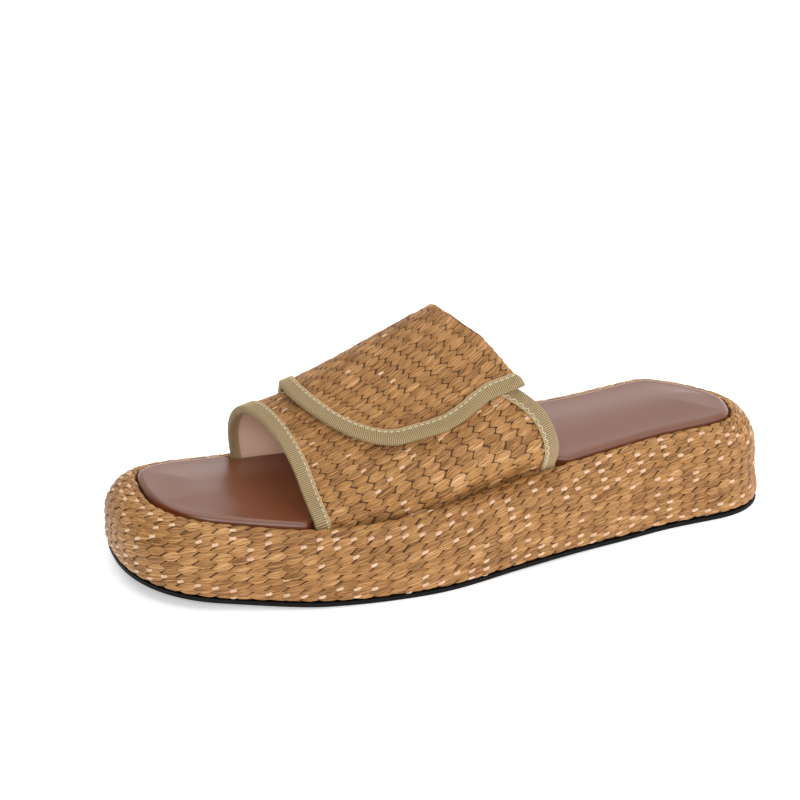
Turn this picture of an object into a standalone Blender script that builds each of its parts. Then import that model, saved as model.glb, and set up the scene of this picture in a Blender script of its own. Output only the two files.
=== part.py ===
"""Braided platform slide sandal, left shoe.

A woven raffia platform on a thin rubber outsole, a padded leather insole, a wide woven strap
over the instep and a woven flap over the strap, with ribbed ribbon round their edges.
The toe points along -X, the outer side of the foot is -Y and +Z is up. Units are metres.
"""
import bmesh
import bpy
import numpy as np

# The sole
LENGTH = 0.265
BALL_WIDTH = 0.093
OUTSOLE_THICK = 0.0020
OUTSOLE_STEP = 0.0007
TOE_SPRING = 0.0062
ARCH_LIFT = 0.0007
TOE_TOP = 0.0359
BALL_TOP = 0.0287
WAIST_TOP = 0.0347
HEEL_TOP = 0.0384
TOE_TIP_SHIFT = 0.0096
HEEL_TIP_SHIFT = -0.0037
TIP_SHIFT_SHARE = 0.35

# The rolled rim of the platform, which turns through RIM_TURN degrees of an ellipse from its wall
# up to the lip, and the recess inside it
RIM_WIDTH = 0.0124
RIM_DROP = 0.0175
RIM_TURN = 67
LIP_RADIUS = 0.0009
FOLD_RADIUS = 0.0018
FOLD_STEP = 0.3 * FOLD_RADIUS
HEEL_LEAN = 0.0022
HEEL_LEAN_FROM = 0.80
HEEL_LEAN_RUN = 0.17
RECESS_DEPTH = 0.0050

# The insole
INSOLE_PROUD = 0.0016
INSOLE_ROUND = 0.0026
INSOLE_DOME = 0.0012
INSOLE_GROOVE = 0.0008
CUT_MARGIN = 0.0035
CUT_SOFT = 0.0065

# The strap, its flap and the ribbon round their edges
WALL = 0.0018
WEAVE_RELIEF = 0.0005
EDGE_WALL = WALL - WEAVE_RELIEF
STRIP_LENGTH = 0.0064
STRIP_WIDTH = 0.0048
FOOT_DEPTH = 0.0040
INSTEP_RISE = 0.0569
RIBBON_THICK = 0.0005
RIBBON_OUTER = 0.0050
RIBBON_INNER = 0.0026
RIBBON_ROOM = 0.00046
FOLD_GAP = 0.0004
CLEARANCE = 0.0003

# Room beside the strap's foot for the ribbon, and under the flap for two of its layers
STRAP_GROOVE = RIBBON_ROOM + RIBBON_THICK + 2 * CLEARANCE
FLAP_LIFT = EDGE_WALL + 2 * (RIBBON_THICK + RIBBON_ROOM) + CLEARANCE

# Half widths along the sole, as shares of the length and of the ball width
OUTLINE_COLUMNS = ("along", "lateral", "medial")
OUTLINE = (
    (0.00, 0.434, 0.380),
    (0.12, 0.434, 0.405),
    (0.27, 0.509, 0.466),
    (0.42, 0.537, 0.461),
    (0.57, 0.473, 0.418),
    (0.72, 0.393, 0.380),
    (0.87, 0.328, 0.422),
    (1.00, 0.386, 0.320),
)
# How the half widths close at each end: share of the length, then a power for each side
TOE_CLOSE = {"share": 0.186, "lateral": 2.51, "medial": 2.55}
HEEL_CLOSE = {"share": 0.161, "lateral": 2.25, "medial": 2.02}

# Heights of the rim along the sole
TOP_LINE = ((0.0, TOE_TOP), (0.3, BALL_TOP), (0.6, WAIST_TOP), (1.0, HEEL_TOP))
SPRING_SHARE = 0.39
ARCH_FROM = 0.45
ARCH_TO = 0.78

# The form of the strap, one row for each cut from its front edge (0) to its back edge (1) and on
# to the back edge of the flap (1.2). Places along are shares of the length, height is a share of
# the instep's rise over the rim, and the rest are shares of the ball width.
STRAP_COLUMNS = ("cut", "outer_foot", "outer_side", "crown", "inner_side", "inner_foot",
                 "height", "across", "outer_bulge", "inner_bulge", "outer_full", "inner_full")
STRAP = (
    (0.0, 0.2732, 0.2525, 0.2309, 0.2113, 0.2117, 0.508, 0.022, -0.034, 0.025, 1.79, 2.85),
    (0.5, 0.4570, 0.4468, 0.3408, 0.3706, 0.3872, 0.722, 0.022, 0.046, 0.045, 1.69, 2.71),
    (1.0, 0.6412, 0.6101, 0.4721, 0.4985, 0.5668, 0.907, 0.094, 0.110, 0.067, 2.27, 2.65),
    (1.2, 0.6907, 0.6664, 0.5242, 0.5468, 0.6208, 0.972, 0.116, 0.106, 0.077, 2.13, 2.37),
)
STRAP_END = STRAP[-1][0]

# The flap on the strap: cuts fore and aft, shares across from the outer foot
FLAP_FRONT = 0.238
FLAP_CORNER_CUT = 0.17
FLAP_CORNER_TURN = 0.14
FLAP_BACK_LOW = 1.045
FLAP_BACK_HIGH = 1.195
FLAP_BACK_RISE = (0.30, 0.46)
FLAP_LOW_FRONT = 0.256
FLAP_LOW_BACK = 0.309
FLAP_LOW_RISE = (0.37, 0.84)
FLAP_SEAT = 0.0006

# Mesh resolution
SOLE_STEPS = 40
INSOLE_STEPS = 48
CUT_SAMPLES = 49
TURN_SAMPLES = 121
RIBBON_SAMPLES = 34

COLOURS = {
    "rubber": ((0.006, 0.006, 0.006), 0.55),
    "raffia": ((0.43, 0.22, 0.095), 0.75),
    "leather": ((0.27, 0.105, 0.058), 0.42),
    "ribbon": ((0.50, 0.44, 0.22), 0.80),
}


def monotone(xs, ys, at):
    """Smooth curve through the rows of a table, with no overshoot between them."""
    xs, ys = np.asarray(xs, float), np.asarray(ys, float)
    step = np.diff(xs)
    slope = np.diff(ys) / step
    tangent = np.zeros(len(xs))
    tangent[0], tangent[-1] = slope[0], slope[-1]
    total = slope[1:] + slope[:-1]
    same_way = slope[1:] * slope[:-1] > 0
    tangent[1:-1] = np.where(same_way, 2 * slope[1:] * slope[:-1] / np.where(same_way, total, 1), 0)
    return hermite(xs, ys, tangent, at)


def flowing(xs, ys, at):
    """Smooth curve through evenly spaced stations, free to swing past them."""
    xs, ys = np.asarray(xs, float), np.asarray(ys, float)
    return hermite(xs, ys, np.gradient(ys, xs), at)


def hermite(xs, ys, tangent, at):
    """Cubic pieces between stations, with a tangent at each station."""
    at = np.clip(at, xs[0], xs[-1])
    i = np.clip(np.searchsorted(xs, at) - 1, 0, len(xs) - 2)
    step = xs[i + 1] - xs[i]
    u = (at - xs[i]) / step
    low = ys[i] * (1 + 2 * u) * (1 - u) ** 2 + step * tangent[i] * u * (1 - u) ** 2
    high = ys[i + 1] * u ** 2 * (3 - 2 * u) + step * tangent[i + 1] * u ** 2 * (u - 1)
    return low + high


def ease(u):
    """Soft step from 0 to 1."""
    u = np.clip(u, 0, 1)
    return u * u * (3 - 2 * u)


def along_share(x):
    """Place along the sole: 0 at the toe, 1 at the heel."""
    return np.clip(x / LENGTH + 0.5, 0, 1)


def top_height(x):
    """Height of the rim's crown above the ground."""
    table = np.array(TOP_LINE)
    return monotone(table[:, 0], table[:, 1], along_share(x))


def under_height(x):
    """Height of the outsole's underside: toe spring, flat forefoot, slight arch, flat heel."""
    share = along_share(x)
    spring = TOE_SPRING * np.clip(1 - share / SPRING_SHARE, 0, 1) ** 2
    arch = np.sin(np.pi * np.clip((share - ARCH_FROM) / (ARCH_TO - ARCH_FROM), 0, 1)) ** 2
    return spring + ARCH_LIFT * arch


def closing(share, reach, power):
    """Rounds a half width down to nothing at the end of the sole."""
    return (1 - np.clip(1 - share / reach, 0, 1) ** power) ** (1 / power)


def half_outline(side, steps):
    """One side of the widest outline, from the toe tip to the heel tip."""
    share = (1 - np.cos(np.linspace(0, np.pi, steps + 1))) / 2
    table = np.array(OUTLINE)
    column = OUTLINE_COLUMNS.index(side)
    width = monotone(table[:, 0], table[:, column], share) * BALL_WIDTH
    width = width * closing(share, TOE_CLOSE["share"], TOE_CLOSE[side])
    width = width * closing(1 - share, HEEL_CLOSE["share"], HEEL_CLOSE[side])
    toe = TOE_TIP_SHIFT * np.clip(1 - share / TIP_SHIFT_SHARE, 0, 1) ** 2
    heel = HEEL_TIP_SHIFT * np.clip(1 - (1 - share) / TIP_SHIFT_SHARE, 0, 1) ** 2
    sign = -1 if side == "lateral" else 1
    return np.stack([(share - 0.5) * LENGTH, toe + heel + sign * width], 1)


def outline(inset, steps):
    """Closed outline moved inward: toe tip, outer side, heel tip, inner side."""
    outer, inner = half_outline("lateral", steps), half_outline("medial", steps)
    loop = np.concatenate([outer, inner[-2:0:-1]])
    ahead = np.roll(loop, -1, 0) - np.roll(loop, 1, 0)
    ahead /= np.linalg.norm(ahead, axis=1)[:, None]
    inward = np.stack([-ahead[:, 1], ahead[:, 0]], 1)
    return loop + inward * np.broadcast_to(inset, len(loop))[:, None]


def edge_across(x, side, inset):
    """How far across the inset outline lies at a place along the sole."""
    steps = 120
    loop = outline(inset, steps)
    half = loop[2:steps - 2] if side == "lateral" else loop[steps + 2:][::-1]
    order = np.argsort(half[:, 0])
    return np.interp(x, half[order, 0], half[order, 1])


def strap_row(cut):
    """The strap's table read at one cut, in metres."""
    table = np.array(STRAP)
    values = [flowing(table[:, 0], table[:, k], cut) for k in range(1, table.shape[1])]
    row = dict(zip(STRAP_COLUMNS[1:], values))
    for name in ("outer_foot", "outer_side", "crown", "inner_side", "inner_foot"):
        row[name] = (row[name] - 0.5) * LENGTH
    row["height"] = top_height(row["crown"]) + row["height"] * INSTEP_RISE
    for name in ("across", "outer_bulge", "inner_bulge"):
        row[name] = row[name] * BALL_WIDTH
    return row


def strap_section(cut, count):
    """Inner face of the strap at one cut, evenly spaced from the outer foot over to the inner one."""
    row = strap_row(cut)
    inset = RIM_WIDTH + STRAP_GROOVE + EDGE_WALL
    turn = np.linspace(0, np.pi / 2, 36)
    halves = []
    for side, foot, sign in (("lateral", "outer", -1), ("medial", "inner", 1)):
        foot_x, full, bulge = row[foot + "_foot"], row[foot + "_full"], row[foot + "_bulge"]
        foot_y, foot_z = edge_across(foot_x, side, inset), top_height(foot_x)
        rise = np.sin(turn) ** (2 / full)
        reach = np.cos(turn) ** (2 / full)
        y = row["across"] + (foot_y - row["across"]) * reach + sign * bulge * np.sin(np.pi * rise ** 0.7) ** 2
        z = foot_z + (row["height"] - foot_z) * rise
        halves.append(np.concatenate([[[foot_y, foot_z - FOOT_DEPTH]], np.stack([y, z], 1)]))
    curve = np.concatenate([halves[0], halves[1][-2::-1]])
    length = np.concatenate([[0], np.cumsum(np.linalg.norm(np.diff(curve, axis=0), axis=1))])
    share = np.linspace(0, 1, count)
    y, z = (np.interp(share * length[-1], length, curve[:, k]) for k in (0, 1))
    stations = [row[k] for k in ("outer_foot", "outer_side", "crown", "inner_side", "inner_foot")]
    return np.stack([flowing(np.linspace(0, 1, 5), stations, share), y, z], 1)


def strap_form():
    """The inner face of the strap and flap as a fine grid, with its outward normals."""
    cuts = np.linspace(0, STRAP_END, CUT_SAMPLES)
    grid = np.array([strap_section(cut, TURN_SAMPLES) for cut in cuts])
    normal = np.cross(np.gradient(grid, axis=1), np.gradient(grid, axis=0))
    normal /= np.linalg.norm(normal, axis=2)[..., None]
    if normal[CUT_SAMPLES // 2, TURN_SAMPLES // 2, 2] < 0:
        normal = -normal
    return grid, normal


FORM, FORM_NORMAL = strap_form()


def read_form(grid, cut, turn):
    """Value of a form grid at any cut and share across, run on straight past its ends."""
    a = np.asarray(cut, float) / STRAP_END * (CUT_SAMPLES - 1)
    b = np.asarray(turn, float) * (TURN_SAMPLES - 1)
    i = np.clip(np.floor(a), 0, CUT_SAMPLES - 2).astype(int)
    j = np.clip(np.floor(b), 0, TURN_SAMPLES - 2).astype(int)
    a, b = (a - i)[..., None], (b - j)[..., None]
    near = grid[i, j] * (1 - b) + grid[i, j + 1] * b
    far = grid[i + 1, j] * (1 - b) + grid[i + 1, j + 1] * b
    return near * (1 - a) + far * a


def on_form(cut, turn, lift):
    """Points lifted off the strap's inner face."""
    normal = read_form(FORM_NORMAL, cut, turn)
    normal = normal / np.linalg.norm(normal, axis=-1)[..., None]
    return read_form(FORM, cut, turn) + normal * np.asarray(lift)[..., None]


def arch_length(cut):
    """Length of the strap's section, foot to foot, at each of the given cuts."""
    lengths = np.linalg.norm(np.diff(FORM, axis=1), axis=2).sum(1)
    return np.interp(cut, np.linspace(0, STRAP_END, CUT_SAMPLES), lengths)


def wall_length(place, u, v):
    """Length of a line on the form, given by shares of a wall's own grid."""
    line = read_form(FORM, *place(u, v))
    return np.linalg.norm(np.diff(line, axis=0), axis=1).sum()


def strap_place(u, v):
    """The strap's own grid: u from front edge to back edge, v from outer foot to inner foot."""
    return u, v


def seat_turns():
    """Shares across at which the flap's outer face would meet the rim, for each cut of the form."""
    turn = np.linspace(1, 0.8, 60)
    turns = []
    for cut in np.linspace(0, STRAP_END, CUT_SAMPLES):
        face = on_form(np.full(60, cut), turn, np.full(60, FLAP_LIFT + WALL))
        turns.append(np.interp(FLAP_SEAT, face[:, 2] - top_height(face[:, 0]), turn))
    return np.array(turns)


SEAT_TURNS = seat_turns()


def rounded_corner(u, v, reach_u, reach_v):
    """Moves shares of a wall's grid so that its corner at u = 0, v = 1 becomes a quarter ellipse."""
    a = np.clip(1 - u / reach_u, 0, 1)
    b = np.clip(1 - (1 - v) / reach_v, 0, 1)
    u = np.where(a > 0, reach_u * (1 - a * np.sqrt(1 - b ** 2 / 2)), u)
    v = np.where(b > 0, 1 - reach_v * (1 - b * np.sqrt(1 - a ** 2 / 2)), v)
    return u, v


def flap_place(u, v):
    """The flap's own grid: u from front to back, v from its seat over the inner foot to its end."""
    cuts = np.linspace(0, STRAP_END, CUT_SAMPLES)
    seat = np.interp(FLAP_FRONT + (FLAP_BACK_HIGH - FLAP_FRONT) * u, cuts, SEAT_TURNS)
    low, high = FLAP_LOW_RISE
    near = FLAP_LOW_FRONT + (FLAP_LOW_BACK - FLAP_LOW_FRONT) * ease((u - low) / (high - low))
    u, v = rounded_corner(u, v, FLAP_CORNER_CUT / (FLAP_BACK_LOW - FLAP_FRONT),
                          FLAP_CORNER_TURN / (seat - near))
    turn = seat + (near - seat) * v
    low, high = FLAP_BACK_RISE
    back = FLAP_BACK_LOW + (FLAP_BACK_HIGH - FLAP_BACK_LOW) * ease((turn - low) / (high - low))
    return FLAP_FRONT + (back - FLAP_FRONT) * u, turn


def new_piece(name, material, verts, faces):
    """One closed object with faces pointing out."""
    mesh = bpy.data.meshes.new(name)
    mesh.from_pydata([tuple(float(c) for c in p) for p in verts], [], faces)
    bm = bmesh.new()
    bm.from_mesh(mesh)
    bmesh.ops.remove_doubles(bm, verts=bm.verts, dist=1e-6)
    bmesh.ops.triangulate(bm, faces=bm.faces)
    bmesh.ops.recalc_face_normals(bm, faces=bm.faces)
    bm.to_mesh(mesh)
    bm.free()
    mesh.materials.append(material)
    mesh.shade_smooth()
    mesh.set_sharp_from_angle(angle=np.radians(35))
    piece = bpy.data.objects.new(name, mesh)
    bpy.context.scene.collection.objects.link(piece)
    piece.location.y = side_shift()
    return piece


def side_shift():
    """Moves the model so that the middle of its width lies on the X axis."""
    loop = outline(0, SOLE_STEPS)
    return -(loop[:, 1].max() + loop[:, 1].min()) / 2


def ring_solid(name, material, rings):
    """Closed solid through stacked outlines, with its two ends closed by rungs across."""
    count = len(rings[0])
    verts = np.concatenate(rings)
    faces = []
    for level in range(len(rings) - 1):
        base = level * count
        for i in range(count):
            j = (i + 1) % count
            faces.append((base + i, base + j, base + count + j, base + count + i))
    for base in (0, (len(rings) - 1) * count):
        faces.append((base, base + 1, base + count - 1))
        for i in range(1, count // 2 - 1):
            faces.append((base + i, base + i + 1, base + count - i - 1, base + count - i))
        middle = count // 2
        faces.append((base + middle - 1, base + middle, base + middle + 1))
    return new_piece(name, material, verts, faces)


def level(loop, height):
    """An outline raised to a height, or to a height for each of its points."""
    return np.column_stack([loop, np.broadcast_to(height, len(loop))])


def outsole(material):
    """Thin rubber sole, slightly smaller than the wrapped platform."""
    rings = []
    for inset, rise in ((OUTSOLE_STEP + 0.0004, 0), (OUTSOLE_STEP, 0.0004), (OUTSOLE_STEP, OUTSOLE_THICK)):
        loop = outline(inset, SOLE_STEPS)
        rings.append(level(loop, under_height(loop[:, 0]) + rise))
    return ring_solid("outsole", material, rings)


def platform_ring(inset, rise_share, drop=0.0):
    """A ring of the platform's wall at a share of its height, leaning in round the heel."""
    widest = outline(0, SOLE_STEPS)
    lean = HEEL_LEAN * ease((along_share(widest[:, 0]) - HEEL_LEAN_FROM) / HEEL_LEAN_RUN)
    loop = outline(inset + lean * np.sin(np.pi * rise_share), SOLE_STEPS)
    base = under_height(loop[:, 0]) + OUTSOLE_THICK + CLEARANCE
    return level(loop, base + (top_height(loop[:, 0]) - drop - base) * rise_share)


def platform(material):
    """Wrapped midsole: turned-in bottom edge, side wall, wide rolled rim, recess for the insole."""
    rings = [platform_ring(OUTSOLE_STEP + FOLD_RADIUS, 0), platform_ring(FOLD_STEP, 0.025),
             platform_ring(0, 0.09), platform_ring(0, 0.30)]
    turn = np.radians(RIM_TURN)
    for angle in turn * np.array((0, 0.22, 0.42, 0.60, 0.76, 0.90)):
        inset = (RIM_WIDTH - LIP_RADIUS) * (1 - np.cos(angle)) / (1 - np.cos(turn))
        loop = platform_ring(inset, 1.0)
        drop = RIM_DROP * (1 - np.sin(angle) / np.sin(turn))
        height = loop[:, 2] - under_height(loop[:, 0])
        rings.append(platform_ring(inset, 1 - drop / height))
    lip = ((RIM_WIDTH - LIP_RADIUS, 0), (RIM_WIDTH - 0.3 * LIP_RADIUS, 0.3 * LIP_RADIUS),
           (RIM_WIDTH, LIP_RADIUS), (RIM_WIDTH, RECESS_DEPTH))
    rings += [platform_ring(inset, 1.0, drop) for inset, drop in lip]
    return ring_solid("platform", material, rings)


def insole_inset(steps):
    """Inset of the insole's edge, cut in where the strap and its ribbon go down beside it."""
    loop = outline(RIM_WIDTH, steps)
    share = along_share(loop[:, 0])
    outer = np.arange(len(loop)) <= steps
    front, back = strap_row(0), strap_row(1)
    depth = STRAP_GROOVE * 2 + EDGE_WALL - INSOLE_GROOVE
    margin = (RIBBON_THICK + 2 * CLEARANCE + CUT_MARGIN) / LENGTH
    soft = CUT_SOFT / LENGTH
    first = np.where(outer, along_share(front["outer_foot"]), along_share(front["inner_foot"])) - margin
    last = np.where(outer, along_share(back["outer_foot"]), along_share(back["inner_foot"])) + margin
    cut_in = ease((share - first + soft) / soft) * ease((last + soft - share) / soft)
    return RIM_WIDTH + INSOLE_GROOVE + depth * cut_in


def insole(material):
    """Padded leather footbed with a rounded edge, a little proud of the rim."""
    edge = insole_inset(INSOLE_STEPS)
    floor = CLEARANCE - RECESS_DEPTH
    body = INSOLE_PROUD - INSOLE_ROUND
    profile = [(0.0012, floor), (0, floor + 0.0012), (0, body)]
    for angle in np.radians((30, 55, 80)):
        profile.append((INSOLE_ROUND * (1 - np.cos(angle)), body + INSOLE_ROUND * np.sin(angle)))
    profile += [(0.009, INSOLE_PROUD + 0.7 * INSOLE_DOME), (0.019, INSOLE_PROUD + INSOLE_DOME)]
    rings = []
    for inset, rise in profile:
        loop = outline(edge + inset, INSOLE_STEPS)
        rings.append(level(loop, top_height(loop[:, 0]) + rise))
    return ring_solid("insole", material, rings)


def zip_lines(first, second):
    """Triangles between two lines of points of different counts that run side by side."""
    faces = []
    i = j = 0
    while i < len(first) - 1 or j < len(second) - 1:
        next_first = (i + 1) / (len(first) - 1)
        next_second = (j + 1) / (len(second) - 1)
        if j == len(second) - 1 or (i < len(first) - 1 and next_first <= next_second):
            faces.append((first[i], first[i + 1], second[j]))
            i += 1
        else:
            faces.append((first[i], second[j + 1], second[j]))
            j += 1
    return faces


def hemmed(count, hem):
    """Even shares from 0 to 1 in count steps, with a plain hem two steps wide at each end."""
    return np.concatenate([[0, hem / 2], np.linspace(hem, 1 - hem, count + 1), [1 - hem / 2, 1]])


def distance_to(points, line):
    """Distance from each point of a grid to the nearest point of a line."""
    gaps = points[:, :, None, :] - line[None, None, :, :]
    return np.sqrt((gaps ** 2).sum(3)).min(2)


def woven_wall(name, material, place, lift):
    """A wall whose outer face has its woven strips raised as interlocked lozenges.

    place maps the wall's own grid to cuts and shares of the form. The edges stay flat and thin
    under the ribbon.
    """
    line = np.linspace(0, 1, 60)
    shares = np.linspace(0, 1, 9)
    lengths_u = [wall_length(place, line, 0 * line + share) for share in shares]
    lengths_v = [wall_length(place, 0 * line + share, line) for share in shares]
    strips = round(np.mean(lengths_u) / STRIP_LENGTH)
    rows = 2 * round(np.mean(lengths_v) / STRIP_WIDTH)
    hem = RIBBON_OUTER + CLEARANCE
    hem_u, hem_v = hem / min(lengths_u), hem / min(lengths_v)
    u, v = hemmed(strips, hem_u), hemmed(rows, hem_v)
    i, j = np.meshgrid(np.arange(len(u)), np.arange(len(v)), indexing="ij")
    cut, turn = place(u[i], v[j])
    flat = on_form(cut, turn, np.full(cut.shape, lift + EDGE_WALL))
    inside = (i > 2) & (i < len(u) - 3) & (j > 2) & (j < len(v) - 3)
    clear = distance_to(flat, np.concatenate([flat[0], flat[:, -1]])) > RIBBON_OUTER + STRIP_WIDTH
    raised = np.where(inside & clear & ((i + j) % 2 == 0), WEAVE_RELIEF, 0)
    outer = on_form(cut, turn, lift + EDGE_WALL + raised)
    inner_u = hemmed(strips // 2, hem_u)
    inner_v = np.linspace(0, 1, 2 * rows // 3 + 1)
    inner = on_form(*place(*np.meshgrid(inner_u, inner_v, indexing="ij")), np.full(1, lift))
    faces = []
    verts = np.concatenate([outer.reshape(-1, 3), inner.reshape(-1, 3)])
    outer_at = np.arange(outer.shape[0] * outer.shape[1]).reshape(outer.shape[:2])
    inner_at = np.arange(inner.shape[0] * inner.shape[1]).reshape(inner.shape[:2]) + outer_at.size
    for k, at in ((0, outer_at), (1, inner_at)):
        for a in range(at.shape[0] - 1):
            for b in range(at.shape[1] - 1):
                corners = (at[a, b], at[a + 1, b], at[a + 1, b + 1], at[a, b + 1])
                if k == 0 and (a + b) % 2 == 0:
                    faces += [(corners[0], corners[1], corners[3]), (corners[1], corners[2], corners[3])]
                elif k == 0:
                    faces += [(corners[0], corners[1], corners[2]), (corners[0], corners[2], corners[3])]
                else:
                    faces.append(corners)
    for pick in ((0, slice(None)), (-1, slice(None)), (slice(None), 0), (slice(None), -1)):
        faces += zip_lines([int(n) for n in outer_at[pick]], [int(n) for n in inner_at[pick]])
    faces = [tuple(int(n) for n in f) for f in faces]
    return new_piece(name, material, verts, faces)


def ribbon(name, material, cut, turn, lift):
    """Ribbon folded round an edge of a wall, with a long leg outside and a short one inside.

    cut and turn list the edge's places on the form, with the wall on the left of the path.
    """
    edge = on_form(cut, turn, np.full(len(cut), lift))
    small = 0.004
    by_cut = (read_form(FORM, cut + small, turn) - read_form(FORM, cut, turn)) / small
    by_turn = (read_form(FORM, cut, turn + small) - read_form(FORM, cut, turn)) / small
    normal = on_form(cut, turn, np.full(len(cut), 1.0)) - read_form(FORM, cut, turn)
    path = np.gradient(edge, axis=0)
    path /= np.linalg.norm(path, axis=1)[:, None]
    inward = np.cross(normal, path)
    inward /= np.linalg.norm(inward, axis=1)[:, None]
    top = EDGE_WALL + RIBBON_ROOM
    outside = top + RIBBON_THICK
    under = -RIBBON_ROOM
    below = under - RIBBON_THICK
    beyond = -FOLD_GAP - RIBBON_THICK
    soft = 0.35 * RIBBON_THICK
    profile = ((RIBBON_OUTER, outside), (0.5 * RIBBON_OUTER, outside), (-FOLD_GAP, outside),
               (beyond, top + soft), (beyond, under - soft), (-FOLD_GAP, below),
               (RIBBON_INNER, below), (RIBBON_INNER, under), (-FOLD_GAP, under),
               (-FOLD_GAP, top), (0.5 * RIBBON_OUTER, top), (RIBBON_OUTER, top))
    rings = []
    for reach, rise in profile:
        if reach > 0:
            step = np.array([np.linalg.lstsq(np.stack([a, b], 1), d * reach, rcond=None)[0]
                             for a, b, d in zip(by_cut, by_turn, inward)])
            across = np.clip(turn + step[:, 1], turn.min(), turn.max())
            rings.append(on_form(cut + step[:, 0], across, np.full(len(cut), lift + rise)))
        else:
            rings.append(edge + inward * reach + normal * rise)
    count, sides = len(cut), len(profile)
    verts = np.stack(rings, 1).reshape(-1, 3)
    faces = [(k * sides + n, k * sides + (n + 1) % sides, (k + 1) * sides + (n + 1) % sides,
              (k + 1) * sides + n) for k in range(count - 1) for n in range(sides)]
    for base in (0, (count - 1) * sides):
        corner = [base + n for n in range(sides)]
        pairs = ((0, 1, 10, 11), (1, 2, 9, 10), (2, 3, 9), (3, 4, 8, 9), (4, 5, 8), (5, 6, 7, 8))
        faces += [tuple(corner[n] for n in pair) for pair in pairs]
    return new_piece(name, material, verts, faces)


def materials():
    """One plain finish for each stuff that the shoe is made of."""
    made = {}
    for name, (colour, roughness) in COLOURS.items():
        material = bpy.data.materials.new(name)
        material.use_nodes = True
        shader = material.node_tree.nodes["Principled BSDF"]
        shader.inputs["Base Color"].default_value = (*colour, 1)
        shader.inputs["Roughness"].default_value = roughness
        made[name] = material
    return made


def flap_edge():
    """The flap's bound edge: down its front, round the corner and along its lower end."""
    share = np.linspace(0, 1, RIBBON_SAMPLES // 2)
    down = flap_place(0 * share, share)
    along = flap_place(share[1:], 0 * share[1:] + 1)
    return np.concatenate([down[0], along[0]]), np.concatenate([down[1], along[1]])


def main():
    for old in list(bpy.data.objects):
        bpy.data.objects.remove(old, do_unlink=True)
    stuff = materials()
    outsole(stuff["rubber"])
    platform(stuff["raffia"])
    insole(stuff["leather"])
    woven_wall("upper", stuff["raffia"], strap_place, 0.0)
    woven_wall("flap", stuff["raffia"], flap_place, FLAP_LIFT)
    turn = np.linspace(0, 1, RIBBON_SAMPLES)
    ribbon("binding_front", stuff["ribbon"], 0 * turn, turn[::-1], 0.0)
    ribbon("binding_back", stuff["ribbon"], 0 * turn + 1, turn, 0.0)
    ribbon("binding_flap", stuff["ribbon"], *flap_edge(), FLAP_LIFT)


main()
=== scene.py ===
"""Braided platform slide sandal, left shoe: its woven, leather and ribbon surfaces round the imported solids.

The toe points along -X, the outer side of the foot is -Y and +Z is up. Units are metres.
"""

import bmesh
import bpy
import numpy as np
from mathutils import Matrix


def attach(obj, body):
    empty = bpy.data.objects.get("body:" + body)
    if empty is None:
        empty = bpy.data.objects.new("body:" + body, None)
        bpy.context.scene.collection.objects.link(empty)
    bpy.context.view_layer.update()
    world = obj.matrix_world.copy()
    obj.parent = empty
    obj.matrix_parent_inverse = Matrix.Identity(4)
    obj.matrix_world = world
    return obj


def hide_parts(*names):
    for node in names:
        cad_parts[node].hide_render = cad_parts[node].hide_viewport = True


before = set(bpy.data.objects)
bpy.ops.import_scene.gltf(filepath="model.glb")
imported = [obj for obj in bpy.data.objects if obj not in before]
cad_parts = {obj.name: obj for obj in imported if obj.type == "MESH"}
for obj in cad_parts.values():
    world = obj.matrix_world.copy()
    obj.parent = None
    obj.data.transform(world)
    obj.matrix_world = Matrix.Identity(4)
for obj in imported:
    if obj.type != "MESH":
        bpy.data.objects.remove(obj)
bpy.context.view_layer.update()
scene = bpy.context.scene
scene.view_settings.view_transform = "Standard"
chance = np.random.default_rng(11)

# Outsole
# A thin black rubber sole, moulded in one piece and glued under the wrapped platform. It turns up
# at the toe, is flat under the ball and the heel and lifts a little at the arch.
LENGTH = 0.265
BALL_WIDTH = 0.093
OUTSOLE_THICK = 0.0020
OUTSOLE_STEP = 0.0007
OUTSOLE_EDGE = 0.0004
TOE_SPRING = 0.0062
SPRING_SHARE = 0.39
ARCH_LIFT = 0.0007
ARCH_FROM, ARCH_TO = 0.45, 0.78
TOE_TIP_SHIFT = 0.0096
HEEL_TIP_SHIFT = -0.0037
TIP_SHIFT_SHARE = 0.35
OUTLINE_STEPS, SHIFT_STEPS = 150, 40
CAP_LINES = 7
RUBBER_TONES = ((0.0015, 0.0015, 0.0015), (0.0050, 0.0048, 0.0045))
OUTLINE = (
    (0.00, 0.434, 0.380),
    (0.12, 0.434, 0.405),
    (0.27, 0.509, 0.466),
    (0.42, 0.537, 0.461),
    (0.57, 0.473, 0.418),
    (0.72, 0.393, 0.380),
    (0.87, 0.328, 0.422),
    (1.00, 0.386, 0.320),
)
TOE_CLOSE = {"share": 0.186, "lateral": 2.51, "medial": 2.55}
HEEL_CLOSE = {"share": 0.161, "lateral": 2.25, "medial": 2.02}


def hermite(xs, ys, tangent, at):
    """Cubic pieces between stations, with a tangent at each station."""
    at = np.clip(at, xs[0], xs[-1])
    i = np.clip(np.searchsorted(xs, at) - 1, 0, len(xs) - 2)
    step = xs[i + 1] - xs[i]
    u = (at - xs[i]) / step
    low = ys[i] * (1 + 2 * u) * (1 - u) ** 2 + step * tangent[i] * u * (1 - u) ** 2
    high = ys[i + 1] * u ** 2 * (3 - 2 * u) + step * tangent[i + 1] * u ** 2 * (u - 1)
    return low + high


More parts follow.
